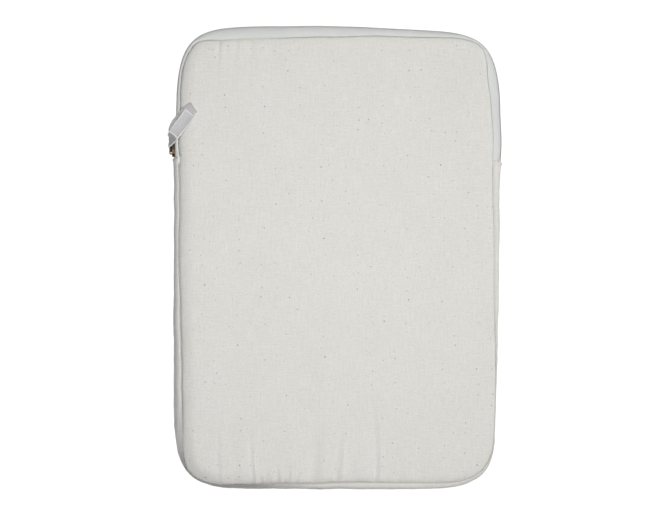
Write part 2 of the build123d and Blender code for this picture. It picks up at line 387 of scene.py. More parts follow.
# ---------------------------------------------------------------------------
# Materials
# ---------------------------------------------------------------------------

class Nodes:
    """Short names for building a node tree."""

    def __init__(self, name):
        self.material = bpy.data.materials.new(name)
        self.material.use_nodes = True
        self.tree = self.material.node_tree
        self.shader = self.tree.nodes["Principled BSDF"]

    def add(self, kind, **settings):
        node = self.tree.nodes.new(kind)
        for key, value in settings.items():
            setattr(node, key, value)
        return node

    def link(self, output, socket):
        self.tree.links.new(output, socket)

    def math(self, operation, a, b=0.0, c=0.0):
        node = self.add("ShaderNodeMath", operation=operation)
        for socket, value in zip(node.inputs, (a, b, c)):
            self.set(socket, value)
        return node.outputs[0]

    def times(self, a, b):
        return self.math("MULTIPLY", a, b)

    def plus(self, a, b):
        return self.math("ADD", a, b)

    def most(self, a, b):
        return self.math("MAXIMUM", a, b)

    def vector_math(self, operation, a, b=(0, 0, 0)):
        node = self.add("ShaderNodeVectorMath", operation=operation)
        self.set(node.inputs[0], a)
        self.set(node.inputs[1], b)
        return node.outputs[0]

    def set(self, socket, value):
        if hasattr(value, "links") or isinstance(value, bpy.types.NodeSocket):
            self.link(value, socket)
        else:
            socket.default_value = value

    def mix(self, share, a, b):
        node = self.add("ShaderNodeMix", data_type="RGBA")
        self.set(node.inputs["Factor"], share)
        self.set(node.inputs[6], a)
        self.set(node.inputs[7], b)
        return node.outputs[2]

    def noise(self, vector, scale, detail=2.0, roughness=0.5):
        node = self.add("ShaderNodeTexNoise")
        self.link(vector, node.inputs["Vector"])
        node.inputs["Scale"].default_value = scale
        node.inputs["Detail"].default_value = detail
        node.inputs["Roughness"].default_value = roughness
        return node.outputs["Fac"]

    def level(self, value, low, high, to_low=0.0, to_high=1.0):
        node = self.add("ShaderNodeMapRange", clamp=True)
        self.link(value, node.inputs["Value"])
        node.inputs["From Min"].default_value = low
        node.inputs["From Max"].default_value = high
        node.inputs["To Min"].default_value = to_low
        node.inputs["To Max"].default_value = to_high
        return node.outputs["Result"]

    def cloth_coordinates(self):
        """Millimetres of cloth: x across the weft, y along the warp."""
        node = self.add("ShaderNodeUVMap", uv_map="cloth")
        scaled = self.add("ShaderNodeVectorMath", operation="SCALE")
        self.link(node.outputs["UV"], scaled.inputs[0])
        scaled.inputs["Scale"].default_value = MM
        return scaled.outputs[0]

    def split(self, vector):
        """The x and y of a vector."""
        node = self.add("ShaderNodeSeparateXYZ")
        self.link(vector, node.inputs[0])
        return node.outputs["X"], node.outputs["Y"]

    def finished(self, base, normal, roughness, specular=None, sheen=None):
        """The material, once its shader has its colour, its normal and its gloss."""
        self.link(base, self.shader.inputs["Base Color"])
        self.link(normal, self.shader.inputs["Normal"])
        self.set(self.shader.inputs["Roughness"], roughness)
        if specular is not None:
            self.shader.inputs["Specular IOR Level"].default_value = specular
        if sheen is not None:
            self.shader.inputs["Sheen Weight"].default_value = sheen
        return self.material

    def bump(self, height, distance, strength):
        node = self.add("ShaderNodeBump")
        node.inputs["Strength"].default_value = strength
        node.inputs["Distance"].default_value = distance / MM
        self.link(height, node.inputs["Height"])
        return node.outputs["Normal"]

    def weave(self, coordinates, pitch, waver=0.35):
        """Height of a plain weave of that thread pitch: over and under threads that waver a little."""
        low = self.noise(coordinates, 0.35 / pitch, detail=2.0)
        shift = self.times(self.math("SUBTRACT", low, 0.5), waver)
        x, y = self.split(coordinates)
        u = self.plus(self.math("DIVIDE", x, pitch), shift)
        v = self.plus(self.math("DIVIDE", y, pitch), shift)
        across = self.math("ABSOLUTE", self.math("SINE", self.times(u, math.pi)))
        along = self.math("ABSOLUTE", self.math("SINE", self.times(v, math.pi)))
        cell = self.plus(self.math("FLOOR", u), self.math("FLOOR", v))
        parity = self.math("FLOORED_MODULO", cell, 2.0)
        warp = self.times(across, self.math("MULTIPLY_ADD", along, 0.45, 0.55))
        weft = self.times(along, self.math("MULTIPLY_ADD", across, 0.45, 0.55))
        over = self.times(warp, parity)
        under = self.times(weft, self.math("SUBTRACT", 1.0, parity))
        return self.plus(over, under)

    def stretched(self, coordinates, x, y):
        """Coordinates scaled apart, for streaks along a thread."""
        return self.vector_math("MULTIPLY", coordinates, (x, y, 1.0))

    def flecks(self, coordinates, spacing, share, size, seed):
        """Flecks: about that share of the cells, spacing apart, holds one of about that size."""
        moved = self.vector_math("ADD", coordinates, (seed, seed * 0.7, 0.0))
        ragged = self.add("ShaderNodeTexNoise")
        self.link(moved, ragged.inputs["Vector"])
        ragged.inputs["Scale"].default_value = 1.4
        ragged.inputs["Detail"].default_value = 3.0
        wobble = self.vector_math("MULTIPLY", ragged.outputs["Color"], (size * 1.3, size * 1.3, 0.0))
        cells = self.add("ShaderNodeTexVoronoi", voronoi_dimensions="2D", feature="F1")
        self.link(self.vector_math("ADD", moved, wobble), cells.inputs["Vector"])
        cells.inputs["Scale"].default_value = 1.0 / spacing
        cells.inputs["Randomness"].default_value = 1.0
        pick = self.add("ShaderNodeSeparateColor")
        self.link(cells.outputs["Color"], pick.inputs[0])
        chosen = self.math("LESS_THAN", pick.outputs["Red"], share)
        radius = self.math("MULTIPLY_ADD", pick.outputs["Green"], size / spacing, 0.35 * size / spacing)
        near = self.math("SUBTRACT", 1.0, self.math("DIVIDE", cells.outputs["Distance"], radius))
        soft = self.level(near, 0.0, 0.5)
        strength = self.math("MULTIPLY_ADD", pick.outputs["Blue"], 0.6, 0.4)
        return self.times(self.times(soft, chosen), strength)


def canvas_material(name, painted_shade=False):
    """Undyed cotton canvas: plain weave, faint slubs, uneven yarn colour and brown-grey seed flecks.

    The second kind carries painted shade: greyer along the left side and round the lower left corner,
    darkest in the seam line, where the light from the right side falls least.
    """
    n = Nodes(name)
    cloth = n.cloth_coordinates()
    weave = n.weave(cloth, 0.72)
    slub_weft = n.noise(n.stretched(cloth, 0.10, 1.1), 1.0, detail=3.0, roughness=0.6)
    slub_warp = n.noise(n.stretched(cloth, 1.1, 0.08), 1.0, detail=3.0, roughness=0.6)
    slubs = n.most(n.level(slub_weft, 0.52, 0.75), n.level(slub_warp, 0.52, 0.75))
    thin = n.most(n.level(slub_weft, 0.46, 0.26), n.level(slub_warp, 0.46, 0.26))
    mottle = n.noise(cloth, 0.62, detail=5.0, roughness=0.75)
    cloud = n.noise(cloth, 0.028, detail=3.0, roughness=0.55)

    base = n.mix(n.level(cloud, 0.3, 0.7), (0.742, 0.734, 0.700, 1), (0.770, 0.765, 0.738, 1))
    base = n.mix(n.level(mottle, 0.38, 0.66, 0.0, 0.75), base, (0.655, 0.642, 0.598, 1))
    base = n.mix(n.times(slubs, 0.55), base, (0.835, 0.828, 0.800, 1))
    base = n.mix(n.times(thin, 0.40), base, (0.640, 0.625, 0.575, 1))
    gaps = n.level(weave, 0.0, 0.45, 0.30, 0.0)
    base = n.mix(gaps, base, (0.520, 0.500, 0.450, 1))
    seeds = n.flecks(cloth, 9.0, 0.42, 0.50, 3.1)
    base = n.mix(n.times(seeds, 0.80), base, (0.150, 0.125, 0.100, 1))
    specks = n.flecks(cloth, 3.6, 0.30, 0.34, 17.3)
    base = n.mix(n.times(specks, 0.50), base, (0.260, 0.225, 0.180, 1))
    pale = n.flecks(cloth, 5.0, 0.22, 0.55, 41.9)
    base = n.mix(n.times(pale, 0.35), base, (0.840, 0.835, 0.810, 1))
    # painted shade: the strip turns greyer along the left side and round the lower left corner, which face
    # away from the light on the right
    if painted_shade:
        x, along = n.split(cloth)
        left = n.level(along, AROUND + 5.0, AROUND + length_of(0.75), 1.0, 0.0)
        left = n.times(left, n.level(x, 3.2, 7.5, 0.0, 1.4))
        corner = n.level(along, length_of(6.95), length_of(7.45))
        corner = n.times(corner, n.level(along, AROUND, AROUND + length_of(0.4), 1.0, 0.0))
        # painted shade on the lip of the lower left corner, a little way out from the seam
        painted_lip_shade = n.times(corner, n.level(x, 2.6, 5.0, 0.5, 0.0))
        corner = n.times(corner, n.level(x, 0.5, 2.5, 0.5, 1.4))
        share = n.most(left, corner)
        share = n.times(share, n.level(x, 8.0, 11.5, 1.0, 0.15))
        uneven = n.level(n.noise(cloth, 0.12, detail=3.0), 0.2, 0.7, 0.38, 0.62)
        base = n.mix(n.times(share, uneven), base, (0.400, 0.385, 0.400, 1))
        # painted shade: a dark line along the front seam, full on the left side and round the lower left
        # corner and fainter beyond, mixed with the painted shade of the corner's lip
        painted_seam_shade = n.level(x, 1.4, 2.8, 0.62, 0.0)
        painted_seam_shade = n.times(painted_seam_shade, n.level(along, AROUND, AROUND + length_of(0.8), 1.0, 0.2))
        base = n.mix(n.most(painted_seam_shade, painted_lip_shade), base, (0.240, 0.230, 0.230, 1))
    height = n.plus(weave, n.times(slubs, 0.9))
    height = n.plus(height, n.times(n.noise(cloth, 4.5, detail=3.0), 0.5))
    return n.finished(base, n.bump(height, 0.10, 0.7), 0.92, specular=0.25, sheen=0.12)


def tape_material():
    """Zip tape: fine, smooth herringbone in a cooler white."""
    n = Nodes("zip_tape_cloth")
    cloth = n.cloth_coordinates()
    x, y = n.split(cloth)
    ribs = n.math("SINE", n.times(x, 2 * math.pi / 0.75))
    zigzag = n.math("PINGPONG", y, 1.6)
    twill = n.math("SINE", n.times(n.plus(x, zigzag), 2 * math.pi / 0.9))
    height = n.plus(n.times(ribs, 0.3), n.times(twill, 0.5))
    tone = n.noise(cloth, 0.06, detail=3.0)
    base = n.mix(n.level(tone, 0.3, 0.7), (0.650, 0.668, 0.655, 1), (0.700, 0.715, 0.702, 1))
    base = n.mix(n.level(twill, -1.0, 1.0, 0.10, 0.0), base, (0.50, 0.50, 0.48, 1))
    fuzz = n.noise(cloth, 2.5, detail=3.0)
    base = n.mix(n.level(fuzz, 0.4, 0.8, 0.0, 0.3), base, (0.60, 0.61, 0.60, 1))
    return n.finished(base, n.bump(height, 0.05, 0.6), 0.75, specular=0.3, sheen=0.08)


def plain_cloth_material(name, color, deep, pitch, depth):
    """A closely woven plain cloth in one uneven colour."""
    n = Nodes(name)
    cloth = n.cloth_coordinates()
    weave = n.weave(cloth, pitch, waver=0.2)
    tone = n.noise(cloth, 0.05, detail=4.0)
    base = n.mix(n.level(tone, 0.25, 0.75), (*color, 1), tuple(0.94 * c for c in color) + (1,))
    base = n.mix(n.level(weave, 0.0, 0.5, 0.35, 0.0), base, (*deep, 1))
    fuzz = n.noise(cloth, 1.8, detail=4.0, roughness=0.7)
    base = n.mix(n.level(fuzz, 0.45, 0.8, 0.0, 0.25), base, (*deep, 1))
    height = n.plus(weave, n.times(fuzz, 0.6))
    return n.finished(base, n.bump(height, depth, 0.7), 0.9, specular=0.2, sheen=0.1)


def ribbon_material():
    """Ribbed cotton tape, one side paler, with painted highlight along both selvedges, at the cut end and
    along the crest of its upper fold, and painted shade on the pale side before the crest.
    """
    n = Nodes("ribbon_cloth")
    cloth = n.cloth_coordinates()
    x, y = n.split(cloth)
    pale_side = n.math("GREATER_THAN", x, RIBBON_SIDE_SHIFT / 2)
    across = n.math("SUBTRACT", x, n.times(pale_side, RIBBON_SIDE_SHIFT))
    ribs = n.math("ABSOLUTE", n.math("SINE", n.times(y, math.pi / 0.9)))
    ends = n.math("ABSOLUTE", n.math("SINE", n.times(across, math.pi / 0.5)))
    height = n.plus(ribs, n.times(ends, 0.45))
    fuzz = n.noise(cloth, 1.3, detail=5.0, roughness=0.75)
    dark = n.mix(n.level(fuzz, 0.36, 0.66), (0.450, 0.435, 0.440, 1), (0.620, 0.605, 0.605, 1))
    pale = n.mix(n.level(fuzz, 0.36, 0.66), (0.480, 0.480, 0.495, 1), (0.640, 0.640, 0.645, 1))
    # painted shade: the pale side turns purple grey before the crest, where the plies run down the rim's
    # side into shade
    shade_before_crest = n.level(y, ribbon_crest - 0.8, ribbon_crest - 1.6, 0.0, 0.55)
    pale = n.mix(shade_before_crest, pale, (0.210, 0.190, 0.215, 1))
    base = n.mix(pale_side, dark, pale)
    base = n.mix(n.level(ribs, 0.0, 0.5, 0.40, 0.0), base, (0.270, 0.255, 0.265, 1))
    # painted highlight: brighter along both selvedges, at the cut end and along the crest of the upper fold,
    # most on the pale side
    rim = n.level(n.math("ABSOLUTE", across), 4.25, 4.60)
    rim = n.most(rim, n.level(y, ribbon_length - 1.1, ribbon_length - 0.6))
    from_crest = n.math("ABSOLUTE", n.math("SUBTRACT", y, ribbon_crest))
    rim = n.most(rim, n.level(from_crest, 0.75, 0.35))
    share = n.times(rim, n.math("MULTIPLY_ADD", pale_side, 0.55, 0.35))
    base = n.mix(share, base, (0.860, 0.855, 0.835, 1))
    return n.finished(base, n.bump(height, 0.12, 0.8), 0.88, specular=0.25, sheen=0.10)


def nylon_material():
    """Nylon monofilament of the zip coils."""
    n = Nodes("nylon_coil")
    where = n.add("ShaderNodeTexCoord").outputs["Object"]
    tone = n.noise(where, 180.0, detail=3.0)
    base = n.mix(n.level(tone, 0.3, 0.7), (0.42, 0.42, 0.40, 1), (0.50, 0.50, 0.48, 1))
    return n.finished(base, n.bump(n.noise(where, 2600.0, detail=2.0), 0.02, 0.5), 0.42)


def metal_material():
    """Dark antique brass, worn bright on the high spots."""
    n = Nodes("antique_brass")
    where = n.add("ShaderNodeTexCoord").outputs["Object"]
    stain = n.noise(where, 420.0, detail=5.0, roughness=0.65)
    base = n.mix(n.level(stain, 0.35, 0.75), (0.030, 0.024, 0.017, 1), (0.170, 0.125, 0.068, 1))
    edge = n.add("ShaderNodeNewGeometry").outputs["Pointiness"]
    worn = n.level(edge, 0.60, 0.72)
    base = n.mix(n.times(worn, 0.45), base, (0.420, 0.310, 0.150, 1))
    n.shader.inputs["Metallic"].default_value = 1.0
    gloss = n.level(stain, 0.3, 0.8, 0.34, 0.60)
    return n.finished(base, n.bump(n.noise(where, 1500.0, detail=4.0), 0.03, 0.4), gloss)


def thread_material():
    """Spun sewing thread with its twist."""
    n = Nodes("sewing_thread")
    where = n.add("ShaderNodeTexCoord").outputs["Object"]
    twist = n.add("ShaderNodeTexWave", wave_type="BANDS", bands_direction="DIAGONAL")
    n.link(where, twist.inputs["Vector"])
    twist.inputs["Scale"].default_value = 900.0
    base = n.mix(twist.outputs["Fac"], (0.600, 0.540, 0.450, 1), (0.740, 0.695, 0.620, 1))
    return n.finished(base, n.bump(twist.outputs["Fac"], 0.03, 0.6), 0.8)


canvas = canvas_material("natural_canvas")
strip_canvas = canvas_material("strip_canvas", painted_shade=True)
tape_cloth = tape_material()
lining_cloth = plain_cloth_material(
    "lining_cloth", (0.500, 0.490, 0.460), (0.300, 0.290, 0.265), pitch=0.40, depth=0.05
)
binding_cloth = plain_cloth_material(
    "binding_cloth", (0.700, 0.690, 0.650), (0.450, 0.435, 0.395), pitch=0.50, depth=0.06
)
nylon = nylon_material()
metal = metal_material()
thread = thread_material()


# ---------------------------------------------------------------------------
# Padded panels
# ---------------------------------------------------------------------------

# distances in from the seam where a ring of points runs round the panel, and their spacing along it
RINGS = (0.0, 0.35, 0.9, 1.8, 3.1, 4.8, 6.9)
RING_SPACING = 1.2
# spacing of the points inside the rings, and how far the gathers, with finer points, reach
# from the bottom and the top
POINT_SPACING = 2.6
FINE_SPACING = 1.4
BOTTOM_GATHERS = 54.0
TOP_GATHERS = 34.0
# how far the middle of a panel lies below its edges
FACE_HOLLOW = 1.0

seam_s = np.arange(0, AROUND, RING_SPACING)
seam_t = place_of(seam_s)


def roll_at(s):
    """How wide the rim shows at a distance along the outline, with the small waver of a sewn seam."""
    return eased(ROLL, place_of(s)) + 0.22 * wave(s, 0 * s, 13.0, 5.0)


def seam_height(s):
    return top_z - eased(SEAM_DROP, place_of(s))


def inside(points, loop):
    """Which points lie inside a closed loop."""
    x, y = points[:, 0], points[:, 1]
    result = np.zeros(len(points), bool)
    for a, b in zip(loop, np.roll(loop, -1, axis=0)):
        if a[1] == b[1]:
            continue
        crosses = (a[1] > y) != (b[1] > y)
        at = (b[0] - a[0]) * (y - a[1]) / (b[1] - a[1]) + a[0]
        result ^= crosses & (x < at)
    return result


def distance_to(points, loop):
    """Distance from each point to the loop, and the number of its nearest side."""
    a, b = loop, np.roll(loop, -1, axis=0)
    run = b - a
    square = (run**2).sum(1)
    best = np.full(len(points), 1e9)
    nearest = np.zeros(len(points), int)
    for i in range(len(a)):
        s = np.clip(((points - a[i]) @ run[i]) / square[i], 0, 1)
        here = np.linalg.norm(points - a[i] - np.outer(s, run[i]), axis=1)
        closer = here < best
        best[closer] = here[closer]
        nearest[closer] = i
    return best, nearest


def panel_outline_mesh():
    """Flat points and faces of a panel: rings along its seam, and an even inside."""
    loop = edge_at(seam_t) - outward_at(seam_t) * roll_at(seam_s)[:, None]
    inward = -outward_at(seam_t)
    count = len(loop)
    rings = [loop + inward * r for r in RINGS]
    last = rings[-1]
    random = np.random.default_rng(7)
    low_y, high_y = last[:, 1].min(), last[:, 1].max()
    bands = (
        (low_y, low_y + BOTTOM_GATHERS, FINE_SPACING),
        (low_y + BOTTOM_GATHERS, high_y - TOP_GATHERS, POINT_SPACING),
        (high_y - TOP_GATHERS, high_y, FINE_SPACING),
    )
    flat = last
    for low, high, step in bands:
        xs = np.arange(last[:, 0].min(), last[:, 0].max(), step)
        ys = np.arange(low, high, step * 0.866)
        grid = np.array([(x + (j % 2) * step / 2, y) for j, y in enumerate(ys) for x in xs])
        grid += random.uniform(-0.1, 0.1, grid.shape) * step
        grid = grid[inside(grid, last)]
        grid = grid[distance_to(grid, last)[0] > step * 0.55]
        flat = np.concatenate((flat, grid))
    edges = [(i, (i + 1) % count) for i in range(count)]
    made = geometry.delaunay_2d_cdt([Vector(p) for p in flat], edges, [], 1, 1e-6)
    start = (len(RINGS) - 1) * count
    faces = []
    for r in range(len(RINGS) - 1):
        for i in range(count):
            k = (i + 1) % count
            faces.append((r * count + i, r * count + k, (r + 1) * count + k, (r + 1) * count + i))
    faces += [tuple(v + start for v in face) for face in made[2]]
    return np.concatenate(rings[:-1] + [np.array([tuple(p) for p in made[0]])]), faces, count


panel_points, panel_faces, rim_count = panel_outline_mesh()
panel_depth, panel_nearest = distance_to(panel_points, panel_points[:rim_count])
panel_place = seam_t[panel_nearest]

# Creases that run up from the bottom seam: x, how far up, how deep, how wide
CREASES = (
    (-63.5, 28.0, 1.50, 1.1), (-90.0, 34.0, 0.60, 6.0), (-88.0, 38.0, 0.40, 1.5),
    (-78.0, 26.0, 0.45, 4.0), (-57.5, 6.0, 1.40, 1.1), (-53.5, 9.0, 1.40, 1.2),
    (-49.5, 6.0, 1.20, 1.1), (-44.5, 11.0, 1.40, 1.2), (-40.0, 5.0, 1.20, 1.1),
    (-35.5, 9.0, 1.10, 1.2), (-29.0, 6.0, 1.00, 1.1), (-17.0, 34.0, 0.90, 4.0),
    (1.5, 40.0, 0.80, 2.0), (12.0, 22.0, 0.40, 5.0), (28.5, 46.0, 0.90, 1.7),
    (47.0, 12.0, 0.45, 2.4), (60.0, 30.0, 0.40, 6.0), (76.0, 16.0, 0.40, 4.0),
)
# the same from the top seam down
TOP_CREASES = (
    (-88.5, 30.0, 0.60, 1.5), (-76.0, 26.0, 0.45, 1.9), (-66.0, 22.0, 0.40, 3.0),
    (-48.0, 30.0, 0.25, 5.0), (20.0, 20.0, 0.20, 5.0),
)


def crease_depth(x, from_edge, depth, creases):
    """How deep creases press the cloth in, each with a soft ridge beside it."""
    deep = np.zeros(len(x))
    for centre, reach, most, width in creases:
        wander = centre - 1.3 * np.sin(from_edge / 15.0 + centre)
        fade = np.exp(-((from_edge / reach) ** 2)) * np.clip(depth / 0.8, 0, 1)
        deep += most * fade * np.exp(-(((x - wander) / width) ** 2))
        deep -= 0.45 * most * fade * np.exp(-(((x - wander - 1.7 * width) / width) ** 2))
    return deep


def panel_face(creases, top_creases, drop, dip, seed):
    """Height of a panel's face over the panel's points: rolled edge, slight hollow and puckers."""
    x, y = panel_points.T
    depth = panel_depth
    width = eased(EDGE_WIDTH, panel_place) * (1 + 0.18 * wave(x, y, 28.0, seed))
    share = np.clip(depth / width, 0, 1)
    z = top_z - drop * (1 - share) ** 2.3
    z -= dip * np.exp(-((depth / (0.4 + 0.3 * dip)) ** 2))
    body = np.clip((depth - 3) / 35, 0, 1)
    z -= FACE_HOLLOW * (1 - (x / 130) ** 2) * (1 - (y / 182) ** 2) * body
    z += 0.45 * body * wave(x, y, 75.0, seed + 1)
    z += 0.14 * body * wave(x, y, 24.0, seed + 2)
    pucker = np.exp(-depth / 8.0) * np.clip(depth / 1.5, 0, 1)
    along = seam_s[panel_nearest]
    z += 0.30 * pucker * wave(along, depth * 0.2, 6.5, seed + 3)
    from_bottom = y - y.min()
    gather = np.exp(-from_bottom / 30.0) * np.clip(depth / 3.0, 0, 1)
    z += 0.75 * gather * wave(x, from_bottom * 0.10, 12.0, seed + 4)
    from_top = y.max() - y
    gather = np.exp(-from_top / 26.0) * np.clip(depth / 4.0, 0, 1)
    z += 0.30 * gather * wave(x, from_top * 0.12, 13.0, seed + 5)
    z -= crease_depth(x, from_bottom, depth, creases)
    z -= crease_depth(x, from_top, depth, top_creases)
    return z


SETTLE_FRAMES = 14
SETTLE_CAP = 1.2


def settled(face_z, seed):
    """The panel's face after a cloth simulation that has next to no effect.

    The cloth is held at the seam and by a weak hold elsewhere, with a little spare length towards
    the bottom seam. With these settings no point moves by more than 0.0002 mm, measured, so the
    padded shape, the gathers and the creases all come from panel_face and not from here.
    """
    points = np.column_stack((panel_points, face_z))
    obj = new_mesh("settling_cloth", points, panel_faces)
    count = len(points)
    held = obj.vertex_groups.new(name="held")
    spare = obj.vertex_groups.new(name="spare")
    y = panel_points[:, 1]
    share = np.exp(-(y - y.min()) / 34.0) + 0.45 * np.exp(-(y.max() - y) / 30.0)
    share *= 0.7 + 0.6 * wave(panel_points[:, 0], y, 17.0, seed)
    for i in range(count):
        held.add([i], 1.0 if panel_depth[i] < 1.0 else 0.06, "REPLACE")
        spare.add([i], float(np.clip(share[i], 0, 1)), "REPLACE")
    cloth = obj.modifiers.new("settle", "CLOTH")
    settings = cloth.settings
    settings.quality = 6
    settings.mass = 0.12
    settings.tension_stiffness = 25.0
    settings.compression_stiffness = 25.0
    settings.shear_stiffness = 12.0
    settings.bending_stiffness = 0.4
    settings.vertex_group_mass = "held"
    settings.pin_stiffness = 1.0
    settings.vertex_group_shrink = "spare"
    settings.shrink_min = 0.0
    settings.shrink_max = -0.035
    settings.effector_weights.gravity = 0.0
    cloth.collision_settings.use_collision = False
    cloth.collision_settings.use_self_collision = False
    cloth.point_cache.frame_start = 1
    cloth.point_cache.frame_end = SETTLE_FRAMES
    for frame_number in range(1, SETTLE_FRAMES + 1):
        scene.frame_set(frame_number)
    shape = obj.evaluated_get(bpy.context.evaluated_depsgraph_get()).to_mesh()
    after = np.zeros(count * 3, np.float32)
    shape.vertices.foreach_get("co", after)
    moved = after.reshape(-1, 3)[:, 2] * MM - face_z
    scene.frame_set(1)
    mesh = obj.data
    bpy.data.objects.remove(obj)
    bpy.data.meshes.remove(mesh)
    return face_z + np.clip(moved, -SETTLE_CAP, SETTLE_CAP)


panel_inside_z = front_lining_high[2] + 0.05
# what the layers of a panel measure together where the seam presses them
SEAM_LAYERS = 0.6


def pressed(face_z):
    """How far the inside of a panel is pressed down beside its seam, as numbers below zero."""
    return np.minimum(face_z - SEAM_LAYERS - panel_inside_z, 0)


def panel_slab(name, high_z, low_z, mirrored=False):
    """A closed piece over the panel's points, between two heights. Mirrored is for the back."""
    count = len(panel_points)
    points = np.concatenate(
        (np.column_stack((panel_points, high_z)), np.column_stack((panel_points, low_z)))
    )
    faces = list(panel_faces)
    faces += [tuple(v + count for v in reversed(face)) for face in panel_faces]
    for i in range(rim_count):
        k = (i + 1) % rim_count
        faces.append((i, i + count, k + count, k))
    uvs = np.concatenate((panel_points, panel_points))
    if mirrored:
        points[:, 2] = top_z - points[:, 2]
        faces = [tuple(reversed(face)) for face in faces]
        uvs[:, 0] += 2 * right_x
    return new_mesh(name, points, faces, uvs)


def padded_panel(name, face_z, mirrored=False):
    """A closed padded panel: canvas face, and an inside next to the lining, flat but for its rim."""
    return panel_slab(name, face_z, panel_inside_z + pressed(face_z), mirrored)


front_face_z = panel_face(
    CREASES, TOP_CREASES, eased(SEAM_DROP, panel_place), eased(SEAM_DIP, panel_place), 1.0
)
back_face_z = panel_face((), (), BACK_SEAM_Z, BACK_DIP, 31.0)
front_face_z = settled(front_face_z, 3.0)
back_face_z = settled(back_face_z, 33.0)
front_panel = padded_panel("front_panel", front_face_z)
back_panel = padded_panel("back_panel", np.minimum(back_face_z, top_z), mirrored=True)
finish_piece(
    front_panel,
    canvas,
    ("front_cover_lower", "front_cover_flap", "front_padding_lower", "front_padding_flap"),
)
finish_piece(back_panel, canvas, ("back_cover", "back_padding"), "case")


def face_height(x, y):
    """Height of the front panel's face near a point."""
    away = np.linalg.norm(panel_points - (x, y), axis=1)
    near = np.argsort(away)[:6]
    weight = 1 / (away[near] + 0.5)
    return float((front_face_z[near] * weight).sum() / weight.sum())


def panel_lining(name, low_z, high_z, shift, seed):
    """A lining sheet that lies on the inside of a panel, slightly loose, and follows it to the seam."""
    loose = 0.12 * wave(panel_points[:, 0], panel_points[:, 1], 30.0, seed)
    loose *= np.clip(panel_depth / 10, 0, 1)
    loose += shift
    return panel_slab(name, high_z + loose, low_z + loose)


front_lining = panel_lining(
    "front_lining_sheet", front_lining_low[2], front_lining_high[2] - 0.1, pressed(front_face_z), 8.0
)
back_lining = panel_lining(
    "back_lining_sheet", lining_low[2] + 0.1, lining_high[2], -pressed(back_face_z), 12.0
)
finish_piece(front_lining, lining_cloth, ("front_lining_lower", "front_lining_flap"))
finish_piece(back_lining, lining_cloth, ("back_lining",), "case")


# ---------------------------------------------------------------------------
# Rim: gusset strip, zip tapes and coils
# ---------------------------------------------------------------------------

# how far the zip tape's edge lies inside the coils' outer side
TAPE_INSIDE = 0.85
# places along the curved part of a rim section
SECTION_PLACES = np.linspace(0, 1, 11)


def strip_section(roll, seam_z, dip, shoulder):
    """Half section of the gusset strip as (distance out, height): out of the seam and over the rim."""
    drop = mid_z - seam_z
    dip *= np.sign(drop)
    valley = np.array(
        ((-roll + 0.35, seam_z + 1.3 * dip + 0.03 * drop), (-roll + 0.15, seam_z + 0.6 * dip + 0.01 * drop))
    )
    wide = np.clip((roll - 2.6) / 2.6, 0, 1)
    flat = max(np.clip(1 - shoulder / 0.42, 0, 1), 0.8 * wide * (1 - shoulder))
    over = bezier(
        np.array((-roll + 0.25, seam_z)),
        np.array((-(0.85 - 0.62 * flat) * roll, seam_z - 0.22 * shoulder * wide * drop)),
        np.array((0.0, seam_z + shoulder * drop)),
        np.array((0.0, mid_z)),
        SECTION_PLACES,
    )
    return np.concatenate((valley, over))


def tape_section(roll, seam_z, dip, end_z):
    """Half section of a zip tape: nearly flat from the seam, then down to its coil."""
    drop = mid_z - seam_z
    dip *= np.sign(drop)
    valley = np.array(((-roll + 0.35, seam_z + 1.3 * dip + 0.08 * drop), (-roll + 0.15, seam_z + 0.6 * dip)))
    over = bezier(
        np.array((-roll + 0.25, seam_z + 0.02 * drop)),
        np.array((-0.50 * roll, seam_z - 0.02 * drop)),
        np.array((-0.75, seam_z + 0.20 * drop)),
        np.array((-TAPE_INSIDE, end_z)),
        SECTION_PLACES,
    )
    return np.concatenate((valley, over))


def rim_grid(s_values, sections):
    """Points of a strip that runs round the outline, and its cloth coordinates."""
    t = place_of(s_values)
    edge, out = edge_at(t), outward_at(t)
    grid = np.zeros((len(t), sections.shape[1], 3))
    grid[:, :, :2] = edge[:, None] + out[:, None] * sections[:, :, :1]
    grid[:, :, 2] = sections[:, :, 1]
    across = np.linalg.norm(np.diff(sections, axis=1), axis=2)
    across = np.concatenate((np.zeros((len(t), 1)), np.cumsum(across, axis=1)), axis=1)
    uv = np.stack((across, np.repeat(s_values[:, None], sections.shape[1], axis=1)), axis=2)
    return grid, uv


def ripple(s_values, columns, size, seed):
    """Noise over a strip, stretched along its width."""
    a, b = np.meshgrid(s_values, np.arange(columns) * 0.8, indexing="ij")
    return wave(a, b, size, seed)


def tuck(s_values, depth):
    """How far in the zip tape lies where it runs under the gusset strip's ends."""
    from_end = np.minimum(s_values - right_end_s, left_end_s - s_values)
    return depth * np.clip(0.35 - from_end / 3.0, 0, 1)


# ---- Gusset strip: from the left end of the zip down round the bottom to the right end ----

strip_s = np.arange(left_end_s, AROUND + right_end_s, 1.7)
strip_s = np.append(strip_s[:-1], AROUND + right_end_s)
strip_roll = roll_at(np.mod(strip_s, AROUND))
strip_dip = eased(SEAM_DIP, place_of(strip_s))
shoulders = eased(STRIP_SHOULDER, place_of(strip_s))
front_part = np.array(
    [strip_section(*row) for row in zip(strip_roll, seam_height(strip_s), strip_dip, shoulders)]
)
back_part = np.array([strip_section(r, BACK_SEAM_Z, BACK_DIP, 0.25) for r in 0.7 * strip_roll + 1.2])
strip_sections = np.concatenate((back_part, front_part[:, -2::-1]), axis=1)
from_end = np.minimum(strip_s - left_end_s, AROUND + right_end_s - strip_s)
columns = strip_sections.shape[1]
belly = np.sin(np.linspace(0, math.pi, columns))
